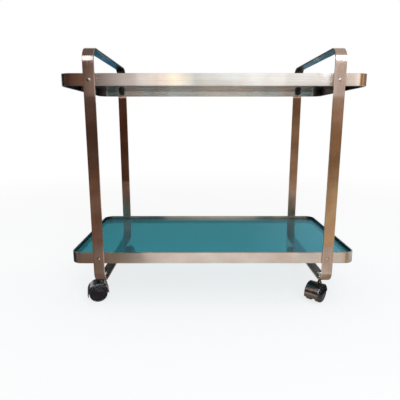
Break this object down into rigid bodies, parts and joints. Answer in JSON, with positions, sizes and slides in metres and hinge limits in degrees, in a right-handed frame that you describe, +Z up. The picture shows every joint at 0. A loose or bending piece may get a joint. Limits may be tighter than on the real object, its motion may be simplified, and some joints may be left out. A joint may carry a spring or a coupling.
{
  "type": "serving cart",
  "caption": "Two-tier serving trolley: strap end loops as handles, banded tinted glass trays, hooded swivelling twin-wheel casters.",
  "frame": {"origin": "on the floor, midway between the end loops and midway between front and rear", "axes": "+X along the trays to the right end, +Y from the front to the rear, +Z up"},
  "size_m": [0.76, 0.4236, 0.672],
  "materials": {
    "strap_steel": "brushed lengthwise, warm bronze tone",
    "band_steel": "brushed lengthwise, pale champagne tone",
    "teal_glass": "tinted, polished",
    "rest_rubber": "moulded, matt",
    "bright_fastener": "polished",
    "plain_steel": "turned",
    "plated_casting": "plated, lightly worn",
    "black_wheel": "moulded, satin",
    "black_cap": "moulded, glossy"
  },
  "bodies": {
    "frame": {"left_end_loop": "strap_steel", "right_end_loop": "strap_steel", "upper_tray_band": "band_steel", "lower_tray_band": "band_steel", "upper_glass": "teal_glass", "lower_glass": "teal_glass", "upper_glass_rests": "rest_rubber", "lower_glass_rests": "rest_rubber", "upper_tray_bolts": "bright_fastener", "lower_tray_bolts": "bright_fastener", "upper_tray_nuts": "bright_fastener", "lower_tray_nuts": "bright_fastener", "caster_washers": "plain_steel", "caster_cap_nuts": "bright_fastener", "caster_stem_rings": "plain_steel", "front_left_stem": "plain_steel", "front_right_stem": "plain_steel", "rear_left_stem": "plain_steel", "rear_right_stem": "plain_steel"},
    "front_left_swivel": {"front_left_caster_body": "plated_casting", "front_left_axle": "plain_steel", "front_left_axle_rings": "plain_steel"},
    "front_left_wheel_1_body": {"front_left_wheel_1": "black_wheel", "front_left_cap_1": "black_cap"},
    "front_left_wheel_2_body": {"front_left_wheel_2": "black_wheel", "front_left_cap_2": "black_cap"},
    "front_right_swivel": {"front_right_caster_body": "plated_casting", "front_right_axle": "plain_steel", "front_right_axle_rings": "plain_steel"},
    "front_right_wheel_1_body": {"front_right_wheel_1": "black_wheel", "front_right_cap_1": "black_cap"},
    "front_right_wheel_2_body": {"front_right_wheel_2": "black_wheel", "front_right_cap_2": "black_cap"},
    "rear_left_swivel": {"rear_left_caster_body": "plated_casting", "rear_left_axle": "plain_steel", "rear_left_axle_rings": "plain_steel"},
    "rear_left_wheel_1_body": {"rear_left_wheel_1": "black_wheel", "rear_left_cap_1": "black_cap"},
    "rear_left_wheel_2_body": {"rear_left_wheel_2": "black_wheel", "rear_left_cap_2": "black_cap"},
    "rear_right_swivel": {"rear_right_caster_body": "plated_casting", "rear_right_axle": "plain_steel", "rear_right_axle_rings": "plain_steel"},
    "rear_right_wheel_1_body": {"rear_right_wheel_1": "black_wheel", "rear_right_cap_1": "black_cap"},
    "rear_right_wheel_2_body": {"rear_right_wheel_2": "black_wheel", "rear_right_cap_2": "black_cap"}
  },
  "joints": [
    {"name": "front_left_swivel_joint", "type": "hinge", "parent": "frame", "child": "front_left_swivel", "pos_m": [-0.3045, -0.155, 0.05], "axis": [0, 0, 1], "continuous": true},
    {"name": "front_left_wheel_1_spin", "type": "hinge", "parent": "front_left_swivel", "child": "front_left_wheel_1_body", "pos_m": [-0.32325, -0.16037, 0.025], "axis": [0.2756, -0.9613, 0], "continuous": true},
    {"name": "front_left_wheel_2_spin", "type": "hinge", "parent": "front_left_swivel", "child": "front_left_wheel_2_body", "pos_m": [-0.32325, -0.16037, 0.025], "axis": [0.2756, -0.9613, 0], "continuous": true},
    {"name": "front_right_swivel_joint", "type": "hinge", "parent": "frame", "child": "front_right_swivel", "pos_m": [0.3045, -0.155, 0.05], "axis": [0, 0, 1], "continuous": true},
    {"name": "front_right_wheel_1_spin", "type": "hinge", "parent": "front_right_swivel", "child": "front_right_wheel_1_body", "pos_m": [0.29095, -0.16903, 0.025], "axis": [0.7193, -0.6947, 0], "continuous": true},
    {"name": "front_right_wheel_2_spin", "type": "hinge", "parent": "front_right_swivel", "child": "front_right_wheel_2_body", "pos_m": [0.29095, -0.16903, 0.025], "axis": [0.7193, -0.6947, 0], "continuous": true},
    {"name": "rear_left_swivel_joint", "type": "hinge", "parent": "frame", "child": "rear_left_swivel", "pos_m": [-0.3045, 0.155, 0.05], "axis": [0, 0, 1], "continuous": true},
    {"name": "rear_left_wheel_1_spin", "type": "hinge", "parent": "rear_left_swivel", "child": "rear_left_wheel_1_body", "pos_m": [-0.29475, 0.13811, 0.025], "axis": [0.866, 0.5, 0], "continuous": true},
    {"name": "rear_left_wheel_2_spin", "type": "hinge", "parent": "rear_left_swivel", "child": "rear_left_wheel_2_body", "pos_m": [-0.29475, 0.13811, 0.025], "axis": [0.866, 0.5, 0], "continuous": true},
    {"name": "rear_right_swivel_joint", "type": "hinge", "parent": "frame", "child": "rear_right_swivel", "pos_m": [0.3045, 0.155, 0.05], "axis": [0, 0, 1], "continuous": true},
    {"name": "rear_right_wheel_1_spin", "type": "hinge", "parent": "rear_right_swivel", "child": "rear_right_wheel_1_body", "pos_m": [0.30789, 0.1358, 0.025], "axis": [0.9848, 0.1736, 0], "continuous": true},
    {"name": "rear_right_wheel_2_spin", "type": "hinge", "parent": "rear_right_swivel", "child": "rear_right_wheel_2_body", "pos_m": [0.30789, 0.1358, 0.025], "axis": [0.9848, 0.1736, 0], "continuous": true}
  ]
}
